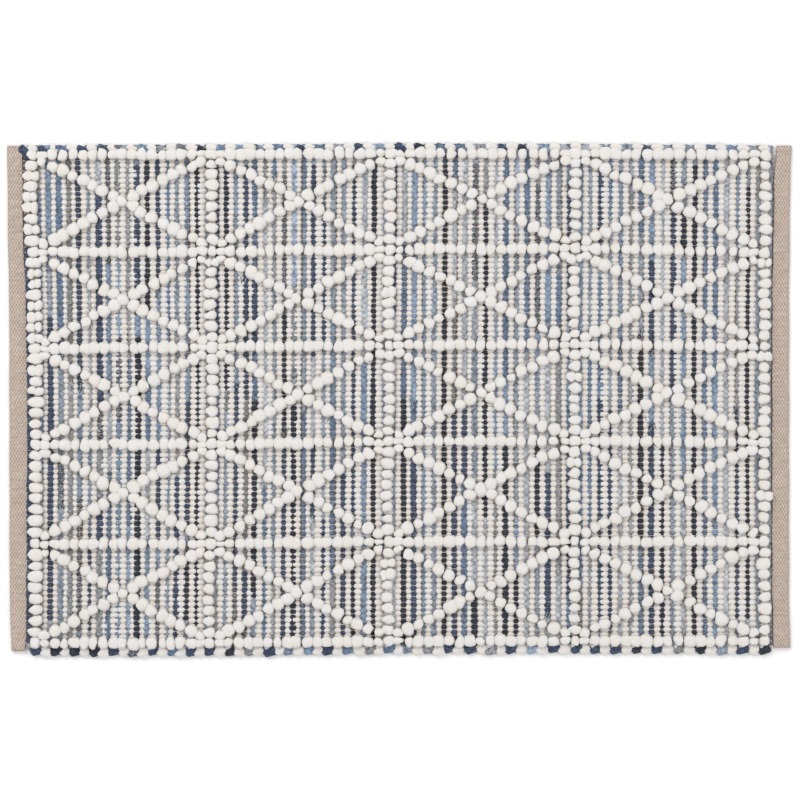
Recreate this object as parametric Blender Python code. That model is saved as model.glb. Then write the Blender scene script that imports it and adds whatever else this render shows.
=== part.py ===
"""A flat-woven rag rug, laid out flat.

One woven field carries a trellis of raised ribs, and a folded cotton tape closes
each short end. Metres, +Z up: X runs along the rug, Y across it, and the origin is
on the surface it lies on, under the middle of the rug.
"""
import math
import random
from collections import namedtuple

import bmesh
import bpy
from mathutils import Vector

# The trellis, between the crests of its ribs
BAY_WIDTHS = (0.207, 0.206, 0.220, 0.220)  # left to right, along the far edge
BAND_DEPTHS = (0.115, 0.117, 0.113, 0.111, 0.111)  # near edge to far edge
LEFT_CREST = -0.4275
NEAR_CREST = -0.28175
TAPER = 0.0075  # the near edge is shorter than the far one by this share
WANDER = 0.0016  # how far a hand-woven rib strays from its line

# Weave steps: weft pairs across a bay, and rows of the weave down a band
STEPS = 18
HALF = STEPS // 2
RIB_PITCH = 2  # steps between crest points along the rug
SIDE_PITCH = 3  # and across it
SLANT_PITCH = 1.5  # and on a slanting rib

# Sections, from a crest outwards
Section = namedtuple("Section", "reach height")
CREST_HEIGHT = 0.0135
RIB = (Section(0.0052, 0.0112), Section(0.0085, 0.0060))
GROUND_HEIGHT = 0.0058
LUMP = 0.0007  # unevenness of crest and ground

Edge = namedtuple("Edge", "selvedge end height scallop")
EDGES = (
    # reach past the crest at a selvedge and at an end, height, share of the scallop
    Edge(0.0050, 0.0052, 0.0110, 0.0),
    Edge(0.0085, 0.0085, 0.0066, 0.6),
    Edge(0.0110, 0.0090, 0.0040, 1.0),
    Edge(0.0110, 0.0090, 0.0015, 1.0),
    Edge(0.0092, 0.0087, 0.0000, 0.4),
)
NEAR_REACH = 0.0145 / 0.0110  # the near selvedge is wider than the far one
SCALLOP = 0.0013  # the wefts turn round in loops along both selvedges
HEADING_LENGTH = 0.0175  # the thin cloth inside each tape's fold

# Binding tapes
TAPE_EDGE = 0.4585  # outer fold to the middle of the rug, at the far edge
TAPE_FAR = 0.2955
TAPE_THICKNESS = 0.0012
FOLD_HEIGHT = 0.0055
FOLD_ROUND = 0.0010
HEADING_INSET = 0.004  # the heading stops short of the tape's ends
TAPE_WAVE = 0.0003  # unevenness of its sewn edge
Tape = namedtuple("Tape", "name side near width widening")
TAPES = (
    Tape("tape_left", -1, -0.2930, 0.0200, 0.0010),
    Tape("tape_right", 1, -0.2890, 0.0208, 0.0004),
)
TAPE_SECTIONS = 12

COTTON = (0.72, 0.70, 0.69, 1.0)
TAPE_BEIGE = (0.53, 0.44, 0.37, 1.0)
CLOTH_ROUGHNESS = 0.9
SHARP_DEGREES = 60

unevenness = random.Random(11)


def clear_scene():
    for ob in list(bpy.data.objects):
        bpy.data.objects.remove(ob, do_unlink=True)


def material(name, colour):
    """A matt cloth material."""
    mat = bpy.data.materials.new(name)
    mat.use_nodes = True
    shader = mat.node_tree.nodes["Principled BSDF"]
    shader.inputs["Base Color"].default_value = colour
    shader.inputs["Roughness"].default_value = CLOTH_ROUGHNESS
    shader.inputs["Metallic"].default_value = 0.0
    return mat


def along(start, spans, step):
    """Where a weave step falls, along spans that hold STEPS steps each."""
    span = min(int(step // STEPS), len(spans) - 1)
    return start + sum(spans[:span]) + spans[span] * (step / STEPS - span)


def taper_at(y):
    """How much narrower the rug is at y than along its far edge."""
    return 1 - TAPER * (0.5 - y / (2 * abs(TAPE_FAR)))


def stray(across, down):
    """A crest's small drift from its straight line, the same for all that meet there."""
    return Vector((
        WANDER * math.sin(0.19 * down + 0.11 * across + 0.8),
        WANDER * math.sin(0.16 * across + 0.23 * down + 2.1),
        0,
    ))


def line_up(across, down):
    """The point at a weave step on a rug whose lines are all straight, at no height."""
    x = along(LEFT_CREST, BAY_WIDTHS, across)
    y = along(NEAR_CREST, BAND_DEPTHS, down)
    return Vector((x * taper_at(y), y, 0))


def place(across, down):
    """The point at a weave step, where the ribs stray a little."""
    return line_up(across, down) + stray(across, down)


def steps_between(start, end, pitch):
    """The weave steps of a rib's crest points, without the last one."""
    count = round(max(abs(end[0] - start[0]), abs(end[1] - start[1])) / pitch)
    for k in range(count):
        yield tuple(round(a + (b - a) * k / count, 3) for a, b in zip(start, end))


def incircle(a, b, c):
    """The centre and radius of the largest circle inside a triangle."""
    lengths = ((b - c).length, (c - a).length, (a - b).length)
    total = sum(lengths)
    centre = (a * lengths[0] + b * lengths[1] + c * lengths[2]) / total
    return centre, (b - a).cross(c - a).length / total


class FieldMesh:
    """The woven field's mesh, whose crest points are shared by all that meet there."""

    def __init__(self):
        self.bm = bmesh.new()
        self.crests = {}

    def vert(self, point, height):
        return self.bm.verts.new((point.x, point.y, height))

    def crest(self, step):
        if step not in self.crests:
            height = CREST_HEIGHT + unevenness.uniform(-LUMP, LUMP)
            self.crests[step] = self.vert(place(*step), height)
        return self.crests[step]

    def band(self, outer, inner):
        """Faces between two closed rings, the outer one running anticlockwise."""
        for k in range(len(outer)):
            n = (k + 1) % len(outer)
            self.bm.faces.new((outer[k], outer[n], inner[n], inner[k]))


def pitch_of(start, end):
    """The spacing of crest points on the rib from one crossing to another."""
    if start[1] == end[1]:
        at_selvedge = start[1] in (0, STEPS * len(BAND_DEPTHS))
        return 1 if at_selvedge else RIB_PITCH
    return SIDE_PITCH if start[0] == end[0] else SLANT_PITCH


def add_panel(field, corners):
    """One triangle of the trellis: half of each rib round it, and flat ground inside."""
    centre, radius = incircle(*(place(*c) for c in corners))
    ring = []
    for start, end in zip(corners, corners[1:] + corners[:1]):
        ring += [field.crest(s) for s in steps_between(start, end, pitch_of(start, end))]
    outline = [v.co.copy() for v in ring]
    for section in RIB:
        keep = 1 - section.reach / radius
        lower = [
            field.vert(
                centre + (p - centre) * keep,
                section.height + unevenness.uniform(-LUMP, LUMP) / 2,
            )
            for p in outline
        ]
        field.band(ring, lower)
        ring = lower
    middle = field.vert(centre, GROUND_HEIGHT)
    for k in range(len(ring)):
        field.bm.faces.new((ring[k], ring[(k + 1) % len(ring)], middle))


def add_trellis(field):
    """Four panels in every cell, meeting at its middle."""
    for bay in range(len(BAY_WIDTHS)):
        for band in range(len(BAND_DEPTHS)):
            left, near = bay * STEPS, band * STEPS
            middle = (left + HALF, near + HALF)
            square = (
                (left, near),
                (left + STEPS, near),
                (left + STEPS, near + STEPS),
                (left, near + STEPS),
            )
            for k in range(4):
                add_panel(field, (square[k], square[(k + 1) % 4], middle))


def border_steps():
    """The weave steps of the outermost crest points, anticlockwise from near left."""
    across, down = STEPS * len(BAY_WIDTHS), STEPS * len(BAND_DEPTHS)
    corners = ((0, 0), (across, 0), (across, down), (0, down))
    for start, end in zip(corners, corners[1:] + corners[:1]):
        yield from steps_between(start, end, pitch_of(start, end))


def edge_point(step, edge):
    """The point of one edge ring beside a border crest."""
    across, down = STEPS * len(BAY_WIDTHS), STEPS * len(BAND_DEPTHS)
    point = place(*step)
    if step[0] in (0, across):
        point.x = line_up(*step).x + (edge.end if step[0] else -edge.end)
    if step[1] in (0, down):
        loop = SCALLOP * edge.scallop * (1 if step[0] % 2 else -1)
        if step[1]:
            point.y += edge.selvedge + loop
        else:
            point.y -= edge.selvedge * NEAR_REACH + loop
    return point


def add_edges(field):
    """The outer slopes of the border ribs, the selvedge loops and the flat underside."""
    steps = list(border_steps())
    inner = [field.crest(s) for s in steps]
    rings = []
    for edge in EDGES:
        outer = [field.vert(edge_point(s, edge), edge.height) for s in steps]
        field.band(outer, inner)
        rings.append(outer)
        inner = outer
    field.bm.faces.new(tuple(reversed(inner)))
    return rings


def add_heading(field, upper, lower, tape):
    """The thin cloth that runs on from an end into the tape's fold."""
    sides = set(upper) | set(lower)
    wall = [
        f
        for f in field.bm.faces
        if len(f.verts) == 4
        and set(f.verts) <= sides
        and abs(f.normal.x) > abs(f.normal.y)
        and f.normal.x * tape.side > 0
    ]
    grown = bmesh.ops.extrude_face_region(field.bm, geom=wall)["geom"]
    bmesh.ops.delete(field.bm, geom=wall, context="FACES")
    for vert in grown:
        if isinstance(vert, bmesh.types.BMVert):
            vert.co.x += tape.side * HEADING_LENGTH
            vert.co.y = min(vert.co.y, TAPE_FAR - HEADING_INSET)
            vert.co.y = max(vert.co.y, tape.near + HEADING_INSET)


def finish(bm, name, colour):
    """Turns a mesh into an object of its own, with its own material."""
    bmesh.ops.recalc_face_normals(bm, faces=bm.faces)
    mesh = bpy.data.meshes.new(name)
    bm.to_mesh(mesh)
    bm.free()
    mesh.shade_smooth()
    mesh.set_sharp_from_angle(angle=math.radians(SHARP_DEGREES))
    mesh.materials.append(material(name + "_cloth", colour))
    ob = bpy.data.objects.new(name, mesh)
    bpy.context.collection.objects.link(ob)
    return ob


def make_field():
    field = FieldMesh()
    add_trellis(field)
    rings = add_edges(field)
    field.bm.normal_update()
    for tape in TAPES:
        add_heading(field, rings[2], rings[3], tape)
    return finish(field.bm, "woven_field", COTTON)


def fold_section(width):
    """The tape's folded section: distance in from the fold, and height."""
    t, top, soft = TAPE_THICKNESS, FOLD_HEIGHT, FOLD_ROUND
    outside = ((width, 0), (soft, 0), (0, soft), (0, top - soft), (soft, top))
    inside = (
        (t + soft, top - t),
        (t, top - t - soft),
        (t, t + soft),
        (t + soft, t),
    )
    return outside + ((width, top), (width, top - t)) + inside + ((width, t),)


def make_tape(tape):
    """A tape folded over one end, following its slight lean and its uneven width."""
    bm = bmesh.new()
    sections = []
    for k in range(TAPE_SECTIONS + 1):
        share = k / TAPE_SECTIONS
        y = tape.near + (TAPE_FAR - tape.near) * share
        width = tape.width + tape.widening * (1 - share)
        width += TAPE_WAVE * math.sin(9 * share + tape.side)
        fold = TAPE_EDGE * taper_at(y)
        sections.append([
            bm.verts.new((tape.side * (fold - inwards), y, height))
            for inwards, height in fold_section(width)
        ])
    for here, there in zip(sections, sections[1:]):
        for k in range(len(here)):
            n = (k + 1) % len(here)
            bm.faces.new((here[k], here[n], there[n], there[k]))
    bm.faces.new(sections[0])
    bm.faces.new(tuple(reversed(sections[-1])))
    return finish(bm, tape.name, TAPE_BEIGE)


clear_scene()
make_field()
for binding in TAPES:
    make_tape(binding)
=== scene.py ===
# %% [markdown]
# # A rag rug with a bobble trellis
#
# This lesson builds the looks of a flat-woven rag rug, 914 mm long. Thin cotton warps
# run along it. Thick wefts cross it in pairs, one of off-white cotton and one of torn
# denim rags. Wherever a line of the trellis passes, the weaver pulls the cotton weft up
# into a bobble. A twill tape is folded over each short end.
#
# The weave could be a bump on a flat sheet, but from the side it would look printed. So
# the rug is made as a weaver makes it: yarn by yarn. Every yarn is real geometry, and the
# grooves, gaps and soft shadows of the weave come by themselves.

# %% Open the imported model
import math

import bmesh
import bpy
import numpy as np
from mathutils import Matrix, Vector


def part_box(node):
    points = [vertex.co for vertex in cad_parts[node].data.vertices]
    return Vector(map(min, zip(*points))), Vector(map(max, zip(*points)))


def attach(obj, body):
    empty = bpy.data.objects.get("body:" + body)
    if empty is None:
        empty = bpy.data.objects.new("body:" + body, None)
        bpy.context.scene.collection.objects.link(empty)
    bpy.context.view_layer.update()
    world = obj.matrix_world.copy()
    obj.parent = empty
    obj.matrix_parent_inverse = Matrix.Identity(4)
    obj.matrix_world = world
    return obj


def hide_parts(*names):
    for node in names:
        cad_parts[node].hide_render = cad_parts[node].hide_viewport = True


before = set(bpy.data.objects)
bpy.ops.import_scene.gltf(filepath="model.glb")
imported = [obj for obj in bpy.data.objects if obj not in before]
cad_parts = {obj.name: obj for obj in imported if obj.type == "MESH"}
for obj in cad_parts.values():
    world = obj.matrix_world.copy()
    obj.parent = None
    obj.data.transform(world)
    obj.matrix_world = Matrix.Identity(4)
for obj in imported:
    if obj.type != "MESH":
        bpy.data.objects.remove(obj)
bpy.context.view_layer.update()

# %% [markdown]
# ## The loom's grid
#
# A place on the rug is given as a weaver counts it: how many weft pairs across, and how
# many rows down a weft. The trellis lines stand 18 pairs and 18 rows apart. They could be
# drawn straight, but the beating was uneven, so they lean and bend by a few millimetres.
# The two tables below hold where the lines lie in the photo, to the millimetre, and the
# bows how far the cloth half way between two lines is off the middle. One function turns
# a count of pairs and rows into metres, and every piece below uses it, so the yarns,
# bobbles and edges always agree.

# %% Count pairs and rows
UPRIGHT_LINES = (
    # each upright line's x in mm at the near edge, half way and at the far edge
    (-423, -422, -426),
    (-220, -217, -218),
    (-12, -12, -10),
    (204, 204, 205),
    (425, 424, 426),
)
LEVEL_LINES = (
    # each level line's y in mm where it meets the five upright lines, left to right
    (-283, -283, -281, -280, -281),
    (-168, -168, -165, -165, -165),
    (-53, -52, -49, -48, -50),
    (59, 61, 63, 64, 62),
    (171, 172, 174, 176, 171),
    (284, 285, 286, 286, 284),
)
BAY_BOWS = (0, -2, -2, -2)  # mm to the right, for each bay from the left
BAND_BOWS = (0, 2, 0, 0, 2)  # mm away, for each band from the near edge
STEPS = 18  # pairs, and rows, from one line to the next
BAYS = len(UPRIGHT_LINES) - 1
BANDS = len(LEVEL_LINES) - 1
PAIRS = STEPS * BAYS
ROWS = STEPS * BANDS


def between(lines, line, along):
    """Metres between the lines of a table, and on past its edges at the same pace."""
    table = np.array(lines) / 1000
    i = np.clip(np.floor(line).astype(int), 0, table.shape[0] - 2)
    j = np.clip(np.floor(along).astype(int), 0, table.shape[1] - 2)
    here = table[i, j] + (table[i, j + 1] - table[i, j]) * (along - j)
    after = table[i + 1, j] + (table[i + 1, j + 1] - table[i + 1, j]) * (along - j)
    return here + (after - here) * (line - i)


def bowed(bows, line):
    """Metres off the middle, most half way between two lines."""
    i = np.clip(np.floor(line).astype(int), 0, len(bows) - 1)
    return np.array(bows)[i] / 1000 * np.abs(np.sin(math.pi * line))


def on_rug(across, row):
    """x and y at so many pairs across and rows down, as arrays."""
    bay, band = np.broadcast_arrays(np.asarray(across) / STEPS, np.asarray(row) / STEPS)
    x = between(UPRIGHT_LINES, bay, band * 2 / BANDS) + bowed(BAY_BOWS, bay)
    return x, between(LEVEL_LINES, band, bay) + bowed(BAND_BOWS, band)


print(PAIRS, "pairs across,", ROWS, "rows down")

# %% [markdown]
# ## Small helpers for node trees
#
# Both the shapes and the finishes below are node trees. They could be put together by
# hand in the node editor, but a script can be read from top to bottom. `put` adds one
# node, sets its options and feeds its inputs, with a number or with another node's
# output. `feed` does the same and gives the first output, and `sums` is one step of
# arithmetic. They keep each tree short.

# %% Make node trees easy to write


def put(tree, kind, inputs=None, **options):
    """Adds a node to a tree and feeds its inputs with values or other sockets."""
    node = tree.nodes.new(kind)
    for option, value in options.items():
        setattr(node, option, value)
    for name, value in (inputs or {}).items():
        if isinstance(value, bpy.types.NodeSocket):
            tree.links.new(value, node.inputs[name])
        else:
            node.inputs[name].default_value = value
    return node


def feed(tree, kind, inputs=None, **options):
    """The first output of a new node."""
    return put(tree, kind, inputs, **options).outputs[0]


def sums(tree, operation, *values):
    """The result of one step of arithmetic."""
    return feed(tree, "ShaderNodeMath", dict(enumerate(values)), operation=operation)


def vector(tree, x=0.0, y=0.0, z=0.0):
    """Three numbers joined into a vector."""
    return feed(tree, "ShaderNodeCombineXYZ", {"X": x, "Y": y, "Z": z})


def parts(tree, whole):
    """The x, y and z of a vector."""
    return put(tree, "ShaderNodeSeparateXYZ", {0: whole}).outputs


# %% [markdown]
# ## How a tree makes a piece
#
# Each shape tree works on a guide: bare points, with a few values at each. The modifier
# could stay on the object, but plain meshes are easier to measure and to hand over. So
# `made_by` runs the tree once, keeps the mesh that comes out and throws the guide away.

# %% Run a tree on a guide


def shape_tree(name, settings):
    """An empty geometry tree with named inputs, each a name with its socket type."""
    tree = bpy.data.node_groups.new(name, "GeometryNodeTree")
    tree.interface.new_socket("Geometry", in_out="INPUT", socket_type="NodeSocketGeometry")
    tree.interface.new_socket("Geometry", in_out="OUTPUT", socket_type="NodeSocketGeometry")
    for label, kind in settings.items():
        tree.interface.new_socket(label, in_out="INPUT", socket_type="NodeSocket" + kind)
    return tree, tree.nodes.new("NodeGroupInput").outputs, tree.nodes.new("NodeGroupOutput")


def stored(tree, name, kind="FLOAT"):
    """A value that the guides carry along, read by its name."""
    node = put(tree, "GeometryNodeInputNamedAttribute", {"Name": name}, data_type=kind)
    return node.outputs["Attribute"]


def placed(tree, geometry, **where):
    """Geometry whose points get a new Position, or are moved by an Offset."""
    return feed(tree, "GeometryNodeSetPosition", {"Geometry": geometry, **where})


def close_tree(tree, geometry, material, end):
    """Every tree ends the same way: smooth faces, real instances and a material."""
    smooth = feed(tree, "GeometryNodeSetShadeSmooth", {"Geometry": geometry})
    real = feed(tree, "GeometryNodeRealizeInstances", {"Geometry": smooth})
    dressed = feed(tree, "GeometryNodeSetMaterial", {"Geometry": real, "Material": material})
    tree.links.new(dressed, end.inputs["Geometry"])
    print(tree.name, "tree has", len(tree.nodes), "nodes")


def added(name, data):
    """A new object in the scene."""
    ob = bpy.data.objects.new(name, data)
    bpy.context.collection.objects.link(ob)
    return ob


def made_by(tree, guide, name, values):
    """Runs a tree on a guide mesh and keeps the result as a plain mesh object."""
    source = added(name + "_guide", guide)
    modifier = source.modifiers.new("shape", "NODES")
    modifier.node_group = tree
    sockets = {s.name: s.identifier for s in tree.interface.items_tree if s.in_out == "INPUT"}
    for label, value in values.items():
        modifier[sockets[label]] = value
    depsgraph = bpy.context.evaluated_depsgraph_get()
    depsgraph.update()
    mesh = bpy.data.meshes.new_from_object(
        source.evaluated_get(depsgraph), preserve_all_data_layers=True, depsgraph=depsgraph
    )
    source.modifiers.clear()
    bpy.data.objects.remove(source)
    mesh.name = name
    triangles = sum(len(p.vertices) - 2 for p in mesh.polygons)
    print(name, len(mesh.polygons), "faces,", triangles, "triangles")
    return added(name, mesh)


# %% [markdown]
# ## Guides
#
# A yarn starts as a bare line of points through the cloth. Its points carry what the
# tree and the finish need there, such as how thick the yarn is and what colour the rag
# has. Each yarn could be an object of its own, but thousands of objects are slow, so one
# guide mesh holds all the yarns of a piece. A bobble starts as a single point.

# %% Draw guides
LAYERS = {1: ("FLOAT", "value"), 3: ("FLOAT_VECTOR", "vector"), 4: ("FLOAT_COLOR", "color")}


def guide_mesh(name, points, edges, values):
    """A mesh of points and edges that carries named values at its points."""
    mesh = bpy.data.meshes.new(name)
    mesh.vertices.add(len(points))
    mesh.vertices.foreach_set("co", np.asarray(points, np.float32).ravel())
    if len(edges):
        mesh.edges.add(len(edges))
        mesh.edges.foreach_set("vertices", np.asarray(edges, np.int32).ravel())
    for label, numbers in values.items():
        numbers = np.asarray(numbers, np.float32)
        kind, field = LAYERS[1 if numbers.ndim == 1 else numbers.shape[1]]
        mesh.attributes.new(label, kind, "POINT").data.foreach_set(field, numbers.ravel())
    mesh.update()
    return mesh


def yarn_guides(name, yarns):
    """One guide mesh for many yarns, each a dictionary with "points" and its values."""
    edges, start = [], 0
    for yarn in yarns:
        count = len(yarn["points"])
        edges += [(start + k, start + k + 1) for k in range(count - 1)]
        start += count
    values = {
        label: np.concatenate([yarn[label] for yarn in yarns])
        for label in yarns[0]
        if label != "points"
    }
    values["yarn"] = np.concatenate(
        [np.full(len(yarn["points"]), k, float) for k, yarn in enumerate(yarns)]
    )
    values["along"] = np.concatenate([np.linspace(0, 1, len(yarn["points"])) for yarn in yarns])
    return guide_mesh(name, np.concatenate([y["points"] for y in yarns]), edges, values)


# %% [markdown]
# ## Colours
#
# The cotton is a warm off-white. The denim comes from many old garments, so each weft is
# a chain of rags in different washes: navy, mid and pale blue, greys, some nearly black.
# One even blue would be simpler, but it is the mixture that makes a rag rug. The shares
# below are for rags picked at random. Most dark ones are placed one by one further down.
# Colours are written as they look on screen, and turned into linear light for the
# shaders.

# %% Choose the rags


def screen(red, green, blue):
    """A colour as seen on screen, 0 to 255, in linear light."""
    shares = [c / 255 for c in (red, green, blue)]
    linear = [s / 12.92 if s < 0.04045 else ((s + 0.055) / 1.055) ** 2.4 for s in shares]
    return (*linear, 1.0)


RAGS = {
    # wash: colour, share of the heap, how much undyed thread shows
    "navy": (screen(35, 56, 87), 0.04, 0.25),
    "blackened": (screen(26, 33, 48), 0.01, 0.10),
    "speckled": (screen(36, 42, 54), 0.03, 1.00),
    "mid blue": (screen(80, 106, 138), 0.16, 0.45),
    "washed blue": (screen(115, 138, 165), 0.20, 0.50),
    "grey blue": (screen(122, 136, 152), 0.22, 0.70),
    "grey": (screen(130, 132, 134), 0.11, 0.90),
    "sky": (screen(146, 162, 187), 0.06, 0.50),
    "olive grey": (screen(110, 111, 107), 0.05, 0.80),
    "pale": (screen(170, 176, 184), 0.12, 0.60),
}
print("rags", len(RAGS), "shares add to", round(sum(wash[1] for wash in RAGS.values()), 2))

# %% [markdown]
# ## What all the finishes share
#
# Every yarn is matt, with a little sheen from loose fibres. All patterns follow Object
# coordinates. A painted picture could hold them too, but noise in the shader stays put
# on every yarn and is sharp from any distance. `depth` tells how deep in the cloth a
# place is, so that the finishes can paint shade there, where little light gets down, and
# on the cotton also the dust that gathers there.

# %% Write the shared parts of a finish
SPECULAR = 0.25
SHEEN_ROUGHNESS = 0.6


def cloth_material(name, roughness=0.92, sheen=0.25):
    """A matt Principled material and its tree."""
    material = bpy.data.materials.new(name)
    material.use_nodes = True
    tree = material.node_tree
    shader = tree.nodes["Principled BSDF"]
    shader.inputs["Roughness"].default_value = roughness
    shader.inputs["Specular IOR Level"].default_value = SPECULAR
    shader.inputs["Sheen Weight"].default_value = sheen
    shader.inputs["Sheen Roughness"].default_value = SHEEN_ROUGHNESS
    return material, tree


def grain(tree, scale, stretch=(1, 1, 1), detail=2.0):
    """Noise on Object coordinates, stretched along an axis, from 0 to 1."""
    where = put(tree, "ShaderNodeTexCoord").outputs["Object"]
    turned = feed(tree, "ShaderNodeMapping", {"Vector": where, "Scale": stretch})
    return feed(tree, "ShaderNodeTexNoise", {"Vector": turned, "Scale": scale, "Detail": detail})


def blend_colours(tree, share, first, second, kind="MIX"):
    """One colour over another, by a share."""
    inputs = {0: share, 6: first, 7: second}
    node = put(tree, "ShaderNodeMix", inputs, data_type="RGBA", blend_type=kind)
    return node.outputs[2]


def remap(tree, value, low, high, to_low=0.0, to_high=1.0):
    """A value stretched from one range to another, and held inside it."""
    return feed(tree, "ShaderNodeMapRange", {0: value, 1: low, 2: high, 3: to_low, 4: to_high})


def depth(tree, high, low):
    """How deep in the cloth a place is: 0 above `high` metres, 1 below `low`."""
    where = put(tree, "ShaderNodeTexCoord").outputs["Object"]
    return remap(tree, parts(tree, where)[2], high, low)


def finish(material, colour, relief, height):
    """Feeds a colour, and a bump of so many metres, to a material's shader."""
    tree = material.node_tree
    shader = tree.nodes["Principled BSDF"]
    bump = feed(tree, "ShaderNodeBump", {"Height": relief, "Distance": height})
    tree.links.new(colour, shader.inputs["Base Color"])
    tree.links.new(bump, shader.inputs["Normal"])
    print(material.name, "finish has", len(tree.nodes), "nodes")
    return material


# %% [markdown]
# ## The cotton finish
#
# The cotton is soft, matt, loosely spun yarn. It could be one white colour, but then
# the bobbles look like plaster. So the shader adds what cotton has: faint creamy and
# greyish patches, fine fibres that run with the weft, and a bump from those fibres.
# Down between the yarns the thin tan warps show through, dust gathers and little light
# falls, so the lowest part of each yarn is painted tan: partly the warps and dust, partly
# painted shade. Bobbles stand higher, so theirs starts higher up.

# %% Mix the cotton
COTTON_CREAM = screen(228, 223, 216)
COTTON_GREY = screen(228, 227, 226)
COTTON_FIBRE = screen(209, 203, 198)
# Painted shade in the low places of the cotton and of the warps, mixed with the tan of the warps
# and dust there
SHADE_AND_DUST_TAN = screen(162, 128, 100)
PAINTED_SHADE_SHARE = 0.85  # how much of the deep colour shows in the lowest place
# The noise of each pattern: how fine it is, and its stretch and detail if not plain
COTTON_PATCHES = (65,)
COTTON_FIBRES = (900, (1.6, 0.5, 1), 3.0)
COTTON_LOOPS = (330,)
# The values of noise that are turned into a share from 0 to 1, or to the last two numbers
PATCH_RANGE = (0.36, 0.64)
FIBRE_RANGE = (0.3, 0.7, 0.0, 0.4)
LOOP_SHARE = 1.5  # of the loops in the bump, next to the fibres
COTTON_RELIEF = 0.0006  # metres
COTTON_SHADE_AND_DUST_HEIGHTS = {
    # finish: heights in metres where the painted shade and dust tan begins and where it is
    # deepest
    "cotton": (0.0045, 0.0033),
    "bobble_cotton": (0.0107, 0.0062),
    "edge_cotton": (0.0016, 0.0),
}


def spin_cotton(name, high, low):
    """Cotton yarn with painted shade and a dust tan below a certain height."""
    material, tree = cloth_material(name)
    patches = remap(tree, grain(tree, *COTTON_PATCHES), *PATCH_RANGE)
    fibres = grain(tree, *COTTON_FIBRES)
    tinted = blend_colours(tree, patches, COTTON_CREAM, COTTON_GREY)
    fibrous = blend_colours(tree, remap(tree, fibres, *FIBRE_RANGE), tinted, COTTON_FIBRE)
    # painted shade, with the tan of warps and dust, in the lowest places of the yarn
    painted_shade = sums(tree, "MULTIPLY", depth(tree, high, low), PAINTED_SHADE_SHARE)
    shaded = blend_colours(tree, painted_shade, fibrous, SHADE_AND_DUST_TAN)
    loops = sums(tree, "MULTIPLY_ADD", grain(tree, *COTTON_LOOPS), LOOP_SHARE, fibres)
    return finish(material, shaded, loops, COTTON_RELIEF)


cotton, bobble_cotton, edge_cotton = (
    spin_cotton(name, *heights) for name, heights in COTTON_SHADE_AND_DUST_HEIGHTS.items()
)

# %% [markdown]
# ## The denim finish
#
# A denim rag shows its dyed twill: dark blue threads over white ones, in fine slanting
# ticks, and a frayed, paler edge where it was torn. Each wash could be a material, but
# one will do: the wash is carried along the yarn as the value `tint`, with the amount of
# undyed thread as its alpha. Ticks and frays are laid over that tint, and worn and less
# worn beads follow each other. The low sides of each bead, down in the cloth, get painted
# shade, nearly black.

# %% Mix the denim
UNDYED = screen(206, 210, 217)
DENIM_FRAY = screen(30, 38, 56)
# Painted shade, nearly black, for the sides of the denim beads low in the cloth
DENIM_PAINTED_SHADE = screen(20, 24, 34)
DENIM_TICKS = (820, (1.0, 1.5, 1.0), 3.0)
DENIM_TEARS = (300, (1.0, 0.6, 1.0), 3.0)
DENIM_WEAR = (190,)
TICK_RANGE = (0.48, 0.68)
TEAR_RANGE = (0.50, 0.32, 0.0, 0.6)
WEAR_RANGE = (0.34, 0.66, 0.74, 1.22)
DENIM_RELIEF = 0.0008
DENIM_PAINTED_SHADE_HEIGHTS = {
    # finish: heights in metres where the painted shade begins and where it is deepest
    "denim": (0.0052, 0.0040),
    "edge_denim": (0.0016, 0.0),
}


def dye_denim(name, high, low):
    """Denim rags with painted shade, nearly black, below a certain height."""
    material, tree = cloth_material(name, roughness=0.88, sheen=0.15)
    rag = put(tree, "ShaderNodeAttribute", attribute_name="tint").outputs
    ticks = grain(tree, *DENIM_TICKS)
    torn = remap(tree, grain(tree, *DENIM_TEARS), *TEAR_RANGE)
    undyed = sums(tree, "MULTIPLY", remap(tree, ticks, *TICK_RANGE), rag["Alpha"])
    lighter = blend_colours(tree, undyed, rag["Color"], UNDYED)
    darker = blend_colours(tree, torn, lighter, DENIM_FRAY)
    worn = remap(tree, grain(tree, *DENIM_WEAR), *WEAR_RANGE)
    uneven = blend_colours(tree, 1.0, darker, worn, "MULTIPLY")
    # painted shade on the low sides of each bead
    painted_shade = sums(tree, "MULTIPLY", depth(tree, high, low), PAINTED_SHADE_SHARE)
    shaded = blend_colours(tree, painted_shade, uneven, DENIM_PAINTED_SHADE)
    return finish(material, shaded, ticks, DENIM_RELIEF)


denim, edge_denim = (dye_denim(name, *heights) for name, heights in DENIM_PAINTED_SHADE_HEIGHTS.items())

# %% [markdown]
# ## The warp finish
#
# The warps are thin unbleached threads, seen only where they cross over a weft. One tan
# would do from afar. Seen close, they are pale where they lie high and in shade where they
# sink in between plump cotton beads, so the height mixes in painted shade, a darker tan.

# %% Mix the warp thread
WARP_TAN = screen(236, 217, 196)
WARP_SHADE = screen(214, 190, 166)
WARP_TWIST = 1500
TWIST_RANGE = (0.3, 0.9)
# Painted shade, a darker tan, where a warp sinks between the beads: where it begins and is
# deepest, and how much shows
WARP_PAINTED_SHADE_HEIGHTS = (0.0048, 0.0038)
WARP_PAINTED_SHADE_SHARE = 0.75
WARP_RELIEF = 0.0002
warp_thread, tree = cloth_material("warp_thread")
twist = grain(tree, WARP_TWIST)
spun = blend_colours(tree, remap(tree, twist, *TWIST_RANGE), WARP_TAN, WARP_SHADE)
# painted shade where the warp sinks in
painted_shade = sums(tree, "MULTIPLY", depth(tree, *WARP_PAINTED_SHADE_HEIGHTS), WARP_PAINTED_SHADE_SHARE)
finish(warp_thread, blend_colours(tree, painted_shade, spun, SHADE_AND_DUST_TAN), twist, WARP_RELIEF)

# %% [markdown]
# ## The tape finish
#
# The tape is a coarse twill, in which two sets of slanting ribs cross and leave
# staggered flecks. The threads could be modelled like the wefts, but they are thinner
# than half a millimetre, so two crossing waves in the shader draw them. Some noise goes
# over the waves, because no loom beats evenly. The tape's own map runs across and along
# it in metres, so the ribs follow the fold.

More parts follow.
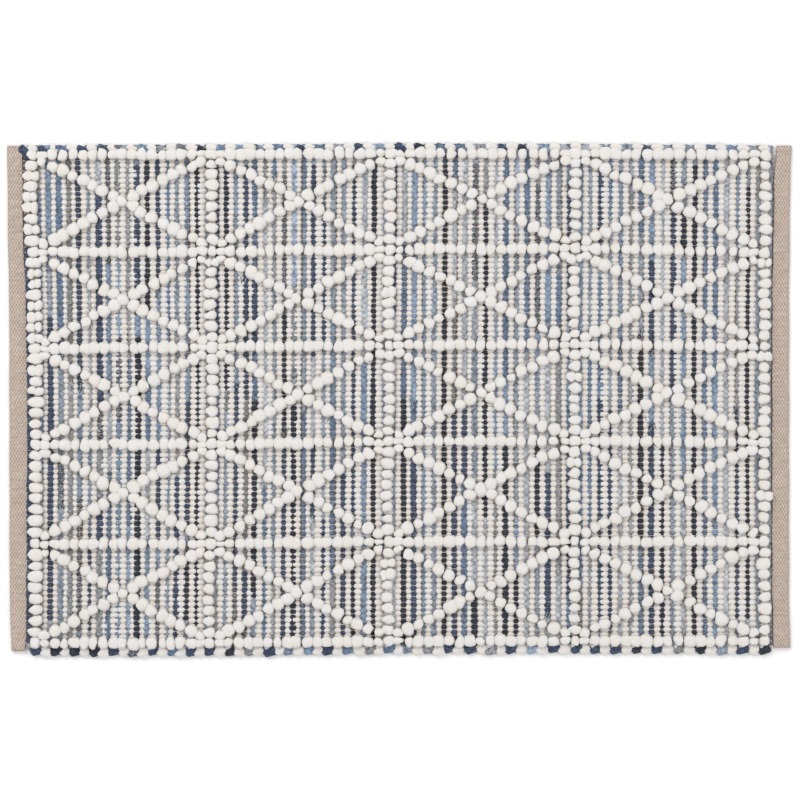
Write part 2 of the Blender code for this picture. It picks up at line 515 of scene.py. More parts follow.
# %% Mix the tape
TAPE_LIGHT = screen(211, 195, 183)
TAPE_DARK = screen(150, 133, 121)
FLECK_ACROSS = 0.0035  # from one fleck of the tape's weave to the next, across the tape
FLECK_ALONG = 0.0062  # and along it
RIB_SHARE = 1.3  # of one set of ribs over the other
TAPE_BENDS, TAPE_BEND = (120,), 0.005  # noise, and how far it bends the ribs, in metres
TAPE_BEATS, TAPE_BEAT = (420, (0.2, 1.0, 1.0)), 4.5  # noise in bars, and how strong it is
TAPE_SPOTS, TAPE_SPOT = (700,), 5.0  # and in spots
TAPE_RANGE = (2.0, 7.3)  # sums that come out wholly dark and wholly light
TAPE_RELIEF = 0.0008
twill_tape, tree = cloth_material("twill_tape", sheen=0.1)
laid = parts(tree, feed(tree, "ShaderNodeUVMap", uv_map="tape_metres"))
shifted = sums(tree, "MULTIPLY_ADD", grain(tree, *TAPE_BENDS), TAPE_BEND, laid[1])
over = sums(tree, "MULTIPLY", laid[0], 2 * math.pi / FLECK_ACROSS)
down = sums(tree, "MULTIPLY", shifted, 2 * math.pi / FLECK_ALONG)
ribs = sums(tree, "COSINE", sums(tree, "SUBTRACT", over, down))
crossing = sums(tree, "COSINE", sums(tree, "ADD", over, down))
flecks = sums(tree, "MULTIPLY_ADD", ribs, RIB_SHARE, crossing)
beaten = sums(tree, "MULTIPLY_ADD", grain(tree, *TAPE_BEATS), TAPE_BEAT, flecks)
worn = sums(tree, "MULTIPLY_ADD", grain(tree, *TAPE_SPOTS), TAPE_SPOT, beaten)
ridge = remap(tree, worn, *TAPE_RANGE)
finish(twill_tape, blend_colours(tree, ridge, TAPE_DARK, TAPE_LIGHT), ridge, TAPE_RELIEF)

# %% [markdown]
# ## A tree for beaded yarns
#
# A weft goes over one warp and under the next. Seen from above it is a string of beads:
# high and plump where it is on top, low and pinched where a warp holds it down. The
# beads could be balls in a row, but a pinched tube joins them as the real yarn does. So
# a guide marks each pinch and the two shoulders of each bead with a value `top`, 0 or 1.
# The tree lifts and swells the line by that value and turns it into a tube.

# %% Build the yarn tree: lift and swell the line
yarn_tree, given, end = shape_tree(
    "beaded_yarn",
    {
        "Sides": "Int",
        "Roll": "Float",
        "Fullness": "Float",
        "Swing": "Float",
        "Pinch": "Float",
        "Half width": "Float",
        "Half height": "Float",
        "Material": "Material",
    },
)
line = feed(yarn_tree, "GeometryNodeMeshToCurve", {"Mesh": given["Geometry"]})
low = sums(yarn_tree, "SUBTRACT", 1.0, stored(yarn_tree, "top"))
fall = sums(yarn_tree, "MULTIPLY", given["Swing"], -2.0)
rise = sums(yarn_tree, "MULTIPLY_ADD", low, fall, given["Swing"])
lifted = placed(yarn_tree, line, Offset=vector(yarn_tree, z=rise))
level = feed(yarn_tree, "GeometryNodeSetCurveNormal", {"Curve": lifted}, mode="Z_UP")
loss = sums(yarn_tree, "MULTIPLY", given["Pinch"], -1.0)
waist = sums(yarn_tree, "MULTIPLY_ADD", low, loss, 1.0)
girth = sums(yarn_tree, "MULTIPLY", waist, stored(yarn_tree, "girth"))
print("the line is lifted and swollen by", len(yarn_tree.nodes), "nodes")

# %% [markdown]
# ## The yarn's section
#
# Three rings of six points a bead are enough, because the faces are smooth. The section
# could be a plain ellipse, but a beaten yarn is fuller and has a flatter top. A power
# below 1 pushes the points of the ring outwards and gives just that.

# %% Build the yarn tree: shape its section


def fuller(tree, value, power):
    """Pushes values between 0 and 1 outwards, on both sides of nought."""
    swollen = sums(tree, "POWER", sums(tree, "ABSOLUTE", value), power)
    return sums(tree, "MULTIPLY", swollen, sums(tree, "SIGN", value))


circle = {"Resolution": given["Sides"], "Radius": 1.0}
ring = feed(yarn_tree, "GeometryNodeCurvePrimitiveCircle", circle)
roll = vector(yarn_tree, z=given["Roll"])
turned = feed(yarn_tree, "GeometryNodeTransform", {"Geometry": ring, "Rotation": roll})
spot = parts(yarn_tree, feed(yarn_tree, "GeometryNodeInputPosition"))
full = vector(yarn_tree, *(fuller(yarn_tree, spot[axis], given["Fullness"]) for axis in (0, 1)))
plump = placed(yarn_tree, turned, Position=full)
widths = vector(yarn_tree, given["Half width"], given["Half height"], 1.0)
flat = feed(yarn_tree, "GeometryNodeTransform", {"Geometry": plump, "Scale": widths})
section = feed(
    yarn_tree,
    "GeometryNodeStoreNamedAttribute",
    {
        "Geometry": flat,
        "Name": "around",
        "Value": put(yarn_tree, "GeometryNodeSplineParameter").outputs["Factor"],
    },
)
tube = feed(
    yarn_tree,
    "GeometryNodeCurveToMesh",
    {"Curve": level, "Profile Curve": section, "Scale": girth, "Fill Caps": True},
)
close_tree(yarn_tree, tube, given["Material"], end)

# %% [markdown]
# ## Laying out yarns flat for painting
#
# The colours of a finished model can be painted onto a flat map. A map made by a
# computer would cut these thin yarns to shreds. Here each yarn gets a strip of its
# own: along the strip is along the yarn, and across it is round the yarn. The small
# margins keep one strip's paint off the next.

# %% Give yarns a map
STRIP_ENDS = 0.03  # margins of a strip, as shares of it
STRIP_SIDES = 0.05


def values_of(mesh, name, width=1):
    """A mesh's stored values as an array."""
    layer = mesh.attributes[name]
    numbers = np.empty(len(layer.data) * width, np.float32)
    layer.data.foreach_get("value" if width == 1 else "vector", numbers)
    return numbers.reshape(-1, width) if width > 1 else numbers


def corners_of(mesh):
    """The point at every corner of the faces, each face's first corner, each corner's face."""
    corner = np.empty(len(mesh.loops), np.int32)
    mesh.loops.foreach_get("vertex_index", corner)
    first = np.empty(len(mesh.polygons), np.int32)
    mesh.polygons.foreach_get("loop_start", first)
    face = np.repeat(np.arange(len(first)), np.diff(np.append(first, len(corner))))
    return corner, first, face


def keep_map(mesh, name, across, up):
    """Stores where the corners of the faces lie on a flat map."""
    spots = np.stack([across, up], 1).astype(np.float32).ravel()
    mesh.uv_layers.new(name=name).uv.foreach_set("vector", spots)


def strip_map(piece, columns):
    """A strip for each yarn, in so many columns: along the yarn, and up round it."""
    mesh = piece.data
    along, yarn, around = (values_of(mesh, name) for name in ("along", "yarn", "around"))
    corner, first, face = corners_of(mesh)
    turn = around[corner]
    wraps = (np.maximum.reduceat(turn, first) - np.minimum.reduceat(turn, first) > 0.5)[face]
    turn = np.where(wraps & (turn < 0.5), turn + 1, turn)
    number = np.round(yarn[corner]).astype(int)
    lines = math.ceil((number.max() + 1) / columns)
    across = (number % columns + STRIP_ENDS + (1 - 2 * STRIP_ENDS) * along[corner]) / columns
    up = (number // columns + STRIP_SIDES + (1 - 2 * STRIP_SIDES) * turn) / lines
    keep_map(mesh, "OFBake", across, up)


def spin(name, yarns, material, half_wide, half_tall, columns=1, **settings):
    """A piece of many yarns, made by the yarn tree, with its map."""
    sizes = {"Half width": half_wide, "Half height": half_tall, "Material": material}
    piece = made_by(yarn_tree, yarn_guides(name, yarns), name, {**sizes, **settings})
    strip_map(piece, columns)
    return piece


# %% [markdown]
# ## The wefts
#
# 73 cotton wefts and 74 denim ones lie side by side, and their beads are half a row
# apart, so each bead bulges into its neighbour's pinch. No two are equally thick. Nor is
# the denim of one colour: each weft is a chain of rags. Most follow in any order, but the
# dark rags catch the eye, so they are placed one by one, as counted in the photo. All that
# is left to chance on this rug is drawn from `luck`, which has a fixed seed, so that
# every run weaves the same rug.

# %% Choose the thickness of the yarns
WEFT_WIDTH = {"cotton": 0.0101, "denim": 0.0078}
WEFT_HEIGHT = 0.0052
WEFT_LEVEL = 0.0032  # height of a weft's middle over the floor
FULLNESS = 0.65
PINCH = {"cotton": 0.44, "denim": 0.38}  # share of its thickness that a yarn loses
SWING = 0.0006  # how far a weft rises and falls between the warps
SHOULDERS = {"cotton": 0.31, "denim": 0.23}  # rows from a pinch to where the bead is full
BEAD_TOP = (0.0, 1.0, 1.0)  # at the pinch and the two shoulders
THICK_SPREAD = {"cotton": 0.09, "denim": 0.13}
PLACE_SPREAD = 0.045  # in weft pairs
luck = np.random.default_rng(8)
counts = {"cotton": PAIRS + 1, "denim": PAIRS + 2}
thickness = {kind: luck.normal(1.0, THICK_SPREAD[kind], n) for kind, n in counts.items()}
nudge = {kind: luck.normal(0.0, PLACE_SPREAD, n) for kind, n in counts.items()}
nudge["cotton"][::STEPS] = 0.0
for kind, shares in thickness.items():
    print(kind, "wefts are", *np.round(np.sort(shares)[[0, -1]] * WEFT_WIDTH[kind], 4), "m wide")

# %% Place the rags
DARK_RAGS = {
    # wash: denim weft, counted from the left, then first and last row from the near edge
    "speckled": ((3, 24, 32), (5, 2, 26), (7, 36, 44), (9, 40, 56), (45, 66, 88), (51, 56, 84)),
    "navy": (
        (0, 0, 90), (2, 4, 60), (5, 46, 90), (6, 2, 20), (7, 18, 26), (11, 60, 88), (13, 18, 36),
        (16, 20, 44), (19, 46, 88), (22, 2, 13), (22, 70, 88), (23, 54, 68), (26, 0, 36),
        (29, 22, 36), (29, 52, 88), (30, 54, 80), (32, 0, 30), (33, 20, 88), (39, 20, 32),
        (43, 14, 42), (44, 28, 42), (52, 4, 30), (54, 8, 30), (54, 58, 84), (57, 4, 44),
        (57, 72, 88), (58, 2, 42), (62, 52, 70), (64, 46, 80), (70, 4, 42),
    ),
    "blackened": (
        (11, 0, 56), (12, 60, 90), (16, 4, 16), (17, 0, 90), (20, 46, 90), (23, 8, 44),
        (26, 38, 60), (27, 0, 44), (33, 0, 18), (35, 0, 88), (38, 0, 44), (42, 0, 88),
        (46, 22, 80), (48, 0, 36), (49, 0, 12), (51, 18, 36), (61, 18, 56), (63, 0, 36),
        (65, 72, 80), (66, 0, 88), (71, 4, 84),
    ),
    "grey blue": ((73, 0, 90),),
}
RAG_ROWS = (9, 55)  # the shortest and the longest rag
RAG_LIGHTNESS = (0.85, 1.15)
FADING = 0.10  # spread of lightness from bead to bead
joins = []  # denim weft, row and tint wherever a new rag begins


def dyed(wash, lightness=1.0):
    """The tint of a rag: its colour, and as alpha how much undyed thread shows."""
    colour, _, undyed = RAGS[wash]
    return np.append(np.array(colour[:3]) * lightness, undyed)


def any_rag():
    """A rag picked from the heap."""
    wash = luck.choice(list(RAGS), p=[wash[1] for wash in RAGS.values()])
    return dyed(wash, luck.uniform(*RAG_LIGHTNESS))


def rag_chain(beads, weft_number):
    """Tints along one denim weft, a chain of rags each some rows long."""
    tints, row = np.ones((len(beads), 4)), beads[0]
    while row <= beads[-1]:
        rag = luck.uniform(*RAG_ROWS)
        tints[(beads >= row) & (beads < row + rag)] = any_rag()
        row += rag
    for wash, places in DARK_RAGS.items():
        for number, first, last in places:
            if number == weft_number:
                tints[(beads >= first) & (beads <= last)] = dyed(wash)
    for k in np.flatnonzero(np.abs(np.diff(tints[:, 0])) > 0):
        joins.append((weft_number, beads[k], tints[k]))
    faded = np.repeat(luck.normal(1.0, FADING, len(beads) // len(BEAD_TOP)), len(BEAD_TOP))
    return tints * np.stack([faded, faded, faded, np.ones(len(beads))], 1)


print("dark rags placed by hand:", sum(len(places) for places in DARK_RAGS.values()))

# %% Lay the wefts
SLOW_CHANGE = 0.06  # of thickness along a weft, as a share
CHANGE_PACE, CHANGE_SHIFT = 0.12, 1.7  # radians for each row, and from weft to weft
BEAD_SPREAD = 0.055  # and from one bead to the next
BEAD_ASIDE, BEAD_UP = 0.0002, 0.00015  # how far beads stray, in metres
THINNEST, THICKEST = 0.68, 1.32


def weft(kind, number):
    """The guide of one weft: where it runs, how plump it is and what colour."""
    pinched_at, offset = (0.5, 0.0) if kind == "cotton" else (0.0, -0.5)
    first_pinch = np.arange(-2, ROWS + 1) + pinched_at + (kind == "denim")
    beads = (first_pinch[:, None] + np.array([0.0, SHOULDERS[kind], 1 - SHOULDERS[kind]])).ravel()
    x, y = on_rug(number + offset + nudge[kind][number], beads)
    stray = np.repeat(luck.normal(0, 1, (len(first_pinch), 3)), len(BEAD_TOP), axis=0)
    slow = SLOW_CHANGE * np.sin(beads * CHANGE_PACE + number * CHANGE_SHIFT)
    plump = thickness[kind][number] * (1 + slow + BEAD_SPREAD * stray[:, 2])
    up = WEFT_LEVEL + BEAD_UP * stray[:, 1]
    yarn = {
        "points": np.stack([x + BEAD_ASIDE * stray[:, 0], y, up], 1),
        "top": np.tile(BEAD_TOP, len(first_pinch)),
        "girth": np.clip(plump, THINNEST, THICKEST),
    }
    if kind == "denim":
        yarn["tint"] = rag_chain(beads, number)
    return yarn


half = PAIRS // 2
cloth = {}
for kind, material, middle in (("cotton", cotton, half), ("denim", denim, half + 1)):
    for side, numbers in (("left", range(middle)), ("right", range(middle, counts[kind]))):
        name = kind + "_wefts_" + side
        cloth[name] = spin(
            name,
            [weft(kind, number) for number in numbers],
            material,
            WEFT_WIDTH[kind] / 2,
            WEFT_HEIGHT / 2,
            Sides=6,
            Fullness=FULLNESS,
            Swing=SWING,
            Pinch=PINCH[kind],
        )

# %% [markdown]
# ## Where the bobbles go
#
# The bobbles could be set one by one where the photo has them, but the trellis follows a
# rule that a weaver counts. On a level line every cotton weft has a bobble, and the fat
# ones merge with the next. On an upright line the one weft there has a bobble at every
# second row. On a slanting line each next weft has its bobble one row further. Where
# lines meet there is no room for full bobbles, so those next to a crossing are smaller.
# Some upright bobbles, mostly on the left border, are twisted into two lobes, and are
# charted as two small ones.

# %% Chart the trellis
LEANS = {
    # upright line and the band it crosses, from the near edge: pairs it leans to the right
    (0, 4): -0.30,
    (1, 0): -0.22,
    (1, 3): -0.15,
    (2, 0): -0.12,
    (2, 1): -0.22,
    (2, 3): -0.12,
    (3, 3): -0.12,
}
# Sizes of the bobbles in millimetres, across the weft and along it. The short tables are
# by how many steps a bobble is from a crossing.
LEVEL_WIDE = (14.6, 11.8)  # fat and slim ones
FAT_SHARE = 0.6
LEVEL_LONG = 13.8
LEVEL_LONG_NEAR = {0: 12.6, 1: 9.4, 2: 11.6}
UPRIGHT = (14.8, 12.2)
BORDERS = {0: (17.2, 13.0), BAYS: (14.0, 12.2)}  # the two outermost upright lines
LOBE = (10.8, 12.2)
LOBE_APART = 0.33  # pairs from the line
LOBE_SHARES = {True: 0.7, False: 0.08}  # on the far half of the left border, and elsewhere
SLANTING = (14.6, 14.0)
SLANTING_NEAR = (13.2, 10.8)
SLANTING_DRIFT = {1: 0.45, 2: 0.25}  # rows away from the crossing
bobbles = []  # weft, row, half sizes across and along it, and which line it is on


def bobble(across, row, size, line):
    """Notes one bobble, with its size in millimetres across and along the weft."""
    wide, long = size
    bobbles.append((across, row, wide / 2000, long / 2000, line))


def from_crossing(step):
    """Steps to the nearest crossing."""
    return min(step % STEPS, STEPS - step % STEPS)


for band in range(BANDS + 1):
    for pair in range(PAIRS + 1):
        long = LEVEL_LONG_NEAR.get(from_crossing(pair), LEVEL_LONG)
        wide = LEVEL_WIDE[0] if luck.random() < FAT_SHARE else LEVEL_WIDE[1]
        bobble(pair, band * STEPS, (wide, long), "level")
for bay in range(BAYS + 1):
    for row in range(0, ROWS, 2):
        if row % STEPS:
            two_lobes = luck.random() < LOBE_SHARES[bay == 0 and row > ROWS / 2]
            bend = math.sin(math.pi * (row % STEPS) / STEPS)
            place = bay * STEPS + LEANS.get((bay, row // STEPS), 0.0) * bend
            if two_lobes:
                bobble(place - LOBE_APART, row, LOBE, "upright")
                bobble(place + LOBE_APART, row, LOBE, "upright")
            else:
                bobble(place, row, BORDERS.get(bay, UPRIGHT), "upright")
for bay in range(BAYS):
    for band in range(BANDS):
        for step in range(1, STEPS):
            for row in {step, STEPS - step}:
                drift = SLANTING_DRIFT.get(from_crossing(step), 0.0)
                down = band * STEPS + row + (drift if row * 2 < STEPS else -drift)
                size = SLANTING_NEAR if from_crossing(step) == 1 else SLANTING
                bobble(bay * STEPS + step, down, size, "slanting")
print(len(bobbles), "bobbles")

# %% [markdown]
# ## A tree for bobbles
#
# A bobble is a loop of the cotton yarn: a soft pebble with steep sides and a flat top,
# never quite round. It could be sculpted, but there are over a thousand. The tree starts
# from a coarse ball of 72 faces. Powers below 1 push its points outwards, which flattens
# the top and squares the outline a little. Then it sets one on every point and makes the
# copies real.

# %% Build the bobble tree: set out pebbles
bobble_tree, given, end = shape_tree(
    "bobbles",
    {
        "Sides": "Int",
        "Rings": "Int",
        "Roundness": "Float",
        "Flat top": "Float",
        "Unevenness": "Float",
        "Lump size": "Float",
        "Material": "Material",
    },
)
coarse = feed(
    bobble_tree,
    "GeometryNodeMeshUVSphere",
    {"Segments": given["Sides"], "Rings": given["Rings"], "Radius": 1.0},
)
ball = feed(bobble_tree, "GeometryNodeInputPosition")
powers = (given["Roundness"], given["Roundness"], given["Flat top"])
squared = [fuller(bobble_tree, *pair) for pair in zip(parts(bobble_tree, ball), powers)]
kept = feed(
    bobble_tree,
    "GeometryNodeStoreNamedAttribute",
    {"Geometry": coarse, "Name": "ball", "Value": ball},
    data_type="FLOAT_VECTOR",
)
size = stored(bobble_tree, "size", "FLOAT_VECTOR")
set_out = feed(
    bobble_tree,
    "GeometryNodeInstanceOnPoints",
    {
        "Points": given["Geometry"],
        "Instance": placed(bobble_tree, kept, Position=vector(bobble_tree, *squared)),
        "Rotation": vector(bobble_tree, z=stored(bobble_tree, "turn")),
        "Scale": size,
    },
)
real = feed(bobble_tree, "GeometryNodeRealizeInstances", {"Geometry": set_out})
print("pebbles are set out by", len(bobble_tree.nodes), "nodes")

# %% [markdown]
# ## No two bobbles alike
#
# Copies that are all the same would look like beads from a factory. Now that they are
# real, noise that depends on the place makes each one uneven in its own way, and `neck`
# draws one end in like a drop.

# %% Build the bobble tree: shape each one


def vectors(tree, operation, first, second):
    """The result of one step of arithmetic on whole vectors."""
    return feed(tree, "ShaderNodeVectorMath", {0: first, 1: second}, operation=operation)


NOISE_MIDDLE = (0.5, 0.5, 0.5)
LUMP_AXES = (1.0, 1.0, 0.4)  # lumps push sideways more than up
where = feed(bobble_tree, "GeometryNodeInputPosition")
lump = {"Vector": where, "Scale": given["Lump size"], "Detail": 1.0}
lumps = put(bobble_tree, "ShaderNodeTexNoise", lump).outputs["Color"]
centred = vectors(bobble_tree, "SUBTRACT", lumps, NOISE_MIDDLE)
sideways = vectors(bobble_tree, "MULTIPLY", centred, LUMP_AXES)
uneven = feed(
    bobble_tree,
    "ShaderNodeVectorMath",
    {0: sideways, "Scale": given["Unevenness"]},
    operation="SCALE",
)
start = parts(bobble_tree, stored(bobble_tree, "ball", "FLOAT_VECTOR"))
towards = sums(bobble_tree, "MULTIPLY", start[1], stored(bobble_tree, "neck"))
aside = sums(bobble_tree, "MULTIPLY", start[0], parts(bobble_tree, size)[0])
drawn_in = sums(bobble_tree, "MULTIPLY", sums(bobble_tree, "MAXIMUM", towards, 0.0), aside)
necked = vector(bobble_tree, x=sums(bobble_tree, "MULTIPLY", drawn_in, -1.0))
swung = feed(
    bobble_tree,
    "ShaderNodeVectorRotate",
    {"Vector": necked, "Angle": stored(bobble_tree, "turn")},
    rotation_type="Z_AXIS",
)
shaped = placed(bobble_tree, real, Offset=vectors(bobble_tree, "ADD", uneven, swung))
close_tree(bobble_tree, shaped, given["Material"], end)

# %% [markdown]
# ## Pulling up the bobbles
#
# Each line of the trellis has its own kind of bobble. On level lines they press against
# each other and merge into a band. On upright lines they lie across the weft, blunt on
# the right and often tapered to the left. On slanting lines they are turned any way, and
# some taper into the weft. One table holds these habits, so one function serves all.

# %% Give each bobble a place on the map
DISC_REACH = 0.46  # radius of a disc, as a share of its square


def disc_map(piece):
    """A disc for each bobble in a square grid, its top in the middle."""
    mesh = piece.data
    number = np.round(values_of(mesh, "number")).astype(int)
    corner, first, face = corners_of(mesh)
    spot = values_of(mesh, "ball", 3)[corner]
    side = math.ceil(math.sqrt(number.max() + 1))
    reach = np.arccos(np.clip(spot[:, 2], -1, 1)) / math.pi * DISC_REACH
    facing = np.add.reduceat(spot, first)[face]
    lowest = (spot[:, 2] < -0.99)[:, None]
    way = np.where(lowest, facing, spot)
    angle = np.arctan2(way[:, 1], way[:, 0])
    across = (number[corner] % side + 0.5 + reach * np.cos(angle)) / side
    up = (number[corner] // side + 0.5 + reach * np.sin(angle)) / side
    keep_map(mesh, "OFBake", across, up)


# %% Pull up the bobbles
BOBBLE_LEVEL = 0.0090  # height of a bobble's middle over the floor
BOBBLE_TALL = 0.0043  # from its middle to its top
HABITS = {
    # line: roundness, turn and its spread in radians, share drawn into a neck, spread of
    # size, and how loosely it keeps its place, in metres
    "level": (0.80, 0.0, 0.10, 0.30, 0.05, 0.0004),
    "upright": (0.82, math.pi / 2, 0.08, 0.60, 0.06, 0.0004),
    "slanting": (0.90, 0.0, 0.50, 0.45, 0.07, 0.0006),
}
SIDE_SPREAD = 0.05  # of the three sizes of one bobble
NECKS = (0.25, 0.65)  # how far an end is drawn in
LEVEL_SPREAD = 0.0003
PEBBLE = {
    "Sides": 12,
    "Rings": 6,
    "Flat top": 0.5,
    "Unevenness": 0.0060,
    "Lump size": 110.0,
    "Material": bobble_cotton,
}


def pull_up(line):
    """All bobbles on the lines of one kind, as one piece."""
    roundness, turn, turn_spread, necked, swelling, loose = HABITS[line]
    chosen = [b for b in bobbles if b[4] == line]
    across, row, wide, long = (np.array(column) for column in list(zip(*chosen))[:4])
    count = len(chosen)
    x, y = on_rug(across + nudge["cotton"][np.round(across).astype(int)], row)
    swell = luck.normal(1.0, swelling, count)
    sizes = np.stack([wide * swell, long * swell, np.full(count, BOBBLE_TALL)], 1)
    sizes = sizes * luck.normal(1.0, SIDE_SPREAD, (count, 3))
    drawn = luck.uniform(*NECKS, count)
    neck = np.where(luck.random(count) < necked, drawn, 0.0)
    if turn:
        sizes = sizes[:, [1, 0, 2]]
    else:
        neck = neck * luck.choice([-1.0, 1.0], count)
    places = (
        x + luck.normal(0, loose, count),
        y + luck.normal(0, loose, count),
        BOBBLE_LEVEL + luck.normal(0, LEVEL_SPREAD, count),
    )
    turns = luck.normal(turn, turn_spread, count)
    values = {"size": sizes, "turn": turns, "neck": neck, "number": np.arange(count)}
    name = "bobbles_" + line
    guide = guide_mesh(name, np.stack(places, 1), [], values)
    piece = made_by(bobble_tree, guide, name, {"Roundness": roundness, **PEBBLE})
    disc_map(piece)
    return piece


for line in HABITS:
    cloth["bobbles_" + line] = pull_up(line)

# %% [markdown]
# ## The warps
#
# 181 thin warps run the length of the rug. Whole threads could be laid, but they show
# only as short tan ticks, where each one crosses over a weft and holds it down. So only
# those ticks are made, with the same tree as the wefts, and a tick that a bobble hides
# is left out. A warp goes over the cotton between its beads and over the denim between
# its own, half a row further.

# %% Cross the warps over the wefts
WARP_WIDE = 0.00074
WARP_TALL = 0.00080
WARP_ABOVE = 0.0002  # the middle of a tick, above the pinched weft
WARP_REACH = {"cotton": 0.35, "denim": 0.42}  # to each side, as a share of the weft's width
WARP_GIRTH = {"cotton": 1.0, "denim": 1.5}  # pressed flatter and wider by the stiff denim
WARP_DROP = 0.0004  # from the middle of a tick to its ends
TICK_STRAY = 0.0001  # how far a tick, and then each of its ends, is off its line
TICK_END_STRAY = 0.00012
TICK_SPREAD = 0.06  # of girth
CELL = 0.02  # the bobbles are sorted into bands of so many metres, to find the near ones
COVERED = 0.4  # share of a bobble's size, squared, within which it hides a tick
bobble_spots = {}
for across, row, wide, long, line in bobbles:
    x, y = (float(v) for v in on_rug(across, row))
    bobble_spots.setdefault(round(y / CELL), []).append((x, y, wide, long))


def hidden(x, y):
    """Whether a bobble covers this place well inside its edge."""
    return any(
        ((x - bx) / wide) ** 2 + ((y - by) / long) ** 2 < COVERED
        for cell in (-1, 0, 1)
        for bx, by, wide, long in bobble_spots.get(round(y / CELL) + cell, ())
    )


def tick(x, y, half, top, girth):
    """The guide of one tick of warp."""
    y = y + luck.normal(0, TICK_STRAY)
    points = [
        (x - half, y + luck.normal(0, TICK_END_STRAY), top - WARP_DROP),
        (x, y, top),
        (x + half, y + luck.normal(0, TICK_END_STRAY), top - WARP_DROP),
    ]
    girth = np.full(3, girth * luck.normal(1, TICK_SPREAD))
    return {"points": np.array(points), "top": np.ones(3), "girth": girth}


ticks = []
for kind, offset, held in (
    ("cotton", 0.0, np.arange(0, ROWS) + 0.5),
    ("denim", -0.5, np.arange(0.0, ROWS + 1)),
):
    for number, plump in enumerate(thickness[kind]):
        xs, ys = on_rug(number + offset + nudge[kind][number], held)
        reach = WEFT_WIDTH[kind] * plump * WARP_REACH[kind]
        top = WEFT_LEVEL - SWING + WEFT_HEIGHT / 2 * plump * (1 - PINCH[kind]) + WARP_ABOVE
        shown = [(x, y) for x, y in zip(xs, ys) if not hidden(x, y)]
        ticks += [tick(x, y, reach, top, WARP_GIRTH[kind]) for x, y in shown]
flat_side_up = {"Sides": 3, "Roll": math.pi / 2, "Fullness": 1.0}
cloth["warps"] = spin("warps", ticks, warp_thread, WARP_WIDE, WARP_TALL, 100, **flat_side_up)

# %% [markdown]
# ## The selvedges
#
# Along both long edges the wefts turn round the outermost warp and go back. The wefts
# themselves could be bent round, but each turn is fatter and steeper than its weft. So a
# turn is a short fat strand that comes out from under the bobbles and rolls over the
# edge, cotton and denim by turns. All lean the same way, so the edge looks like a
# two-coloured rope.

# %% Turn the wefts at the selvedges
TURN = (
    # across, outwards from the outermost bobbles' line and up, in millimetres; girth
    (-3.6, 3.6, 2.9, 0.85),
    (-2.8, 6.9, 3.1, 0.86),
    (-0.6, 9.6, 4.5, 1.02),
    (1.9, 12.6, 4.1, 1.03),
    (2.5, 14.6, 2.3, 0.97),
)
TURN_SHARES = {
    # the near or the far selvedge and the weft: how far its turns stand out, and their girth
    (-1, "cotton"): (1.06, 1.0),
    (-1, "denim"): (0.98, 1.0),
    (1, "cotton"): (1.14, 1.1),
    (1, "denim"): (0.95, 1.14),
}
TURN_HEIGHT = 0.0026  # half the height of a turn
LEAST_LIFT = 0.9  # of that half, from the floor to the middle of a turn
TURN_WIDTH = {"cotton": 0.0066, "denim": 0.0069}  # half the width
TURN_SHAPE = {"Sides": 8, "Roll": math.pi / 8, "Fullness": 0.55}
DARK_TURNS = {-1: 0.45, 1: 0.40}  # share of the near and of the far denim turns
NAVY_SHARE = 0.7  # of the dark ones
PAIR_SPREAD, OUT_SPREAD, GIRTH_SPREAD, LEAN_SPREAD = 0.08, 0.04, 0.07, 0.2
EDGES = ((-1, 0, 0.0008), (1, ROWS, 0.0046))  # side, row, how much less of its turns shows


def selvedge(kind, material):
    """All turns of one kind of weft, along both selvedges."""
    yarns = []
    aside, out, up, girth = np.array(TURN).T
    for side, row, tuck in EDGES:
        odd = (kind == "denim") == (side > 0)
        first = -1 if odd and side > 0 else 1 if odd else 0
        stands_out, fat = TURN_SHARES[side, kind]
        for pair in range(first, PAIRS + 1, 2):
            x, y = on_rug(pair + luck.normal(0, PAIR_SPREAD), row)
            outwards = out / 1000 * luck.normal(stands_out, OUT_SPREAD) - tuck
            thick = girth * fat * luck.normal(1.0, GIRTH_SPREAD)
            above = np.maximum(up / 1000, thick * TURN_HEIGHT * LEAST_LIFT)
            leaning = aside / 1000 * luck.normal(1.0, LEAN_SPREAD)
            points = np.stack([x + leaning, y + side * outwards, above], 1)
            yarn = {"points": points, "top": np.ones(len(TURN)), "girth": thick}
            if kind == "denim":
                dark = dyed("navy" if luck.random() < NAVY_SHARE or pair < 0 else "blackened")
                shown = dark if luck.random() < DARK_TURNS[side] or pair < 0 else any_rag()
                yarn["tint"] = np.tile(shown, (len(TURN), 1))
            yarns.append(yarn)
    name = kind + "_selvedges"
    return spin(name, yarns, material, TURN_WIDTH[kind], TURN_HEIGHT, **TURN_SHAPE)


cloth["cotton_selvedges"] = selvedge("cotton", edge_cotton)
cloth["denim_selvedges"] = selvedge("denim", edge_denim)

# %% [markdown]
# ## The edge threads
#
# The turns go round the outermost warp, and on the real rug its thread shows as a thin
# line between them and the bobbles. It could be left out as too small, but without it the
# turns seem to hold on to nothing. It is one long yarn at each selvedge, of even
# thickness, that strays a little from its line.

# %% Run the edge threads
EDGE_THREAD_OUT, EDGE_THREAD_UP = 0.0069, 0.0048
EDGE_THREAD_RADIUS = 0.0007
OUT_STRAY, UP_STRAY = 0.00015, 0.0001
threads = []
for side, row, tuck in EDGES:
    steps = np.arange(-1.0, PAIRS + 1.5, 0.5)
    x, y = on_rug(steps, np.full(len(steps), float(row)))
    out = EDGE_THREAD_OUT - tuck + luck.normal(0, OUT_STRAY, len(steps))
    up = EDGE_THREAD_UP + luck.normal(0, UP_STRAY, len(steps))
    even = np.ones(len(steps))
    threads.append({"points": np.stack([x, y + side * out, up], 1), "top": even, "girth": even})
radii = (EDGE_THREAD_RADIUS, EDGE_THREAD_RADIUS)
cloth["edge_threads"] = spin("edge_threads", threads, warp_thread, *radii, Sides=4, Fullness=1.0)

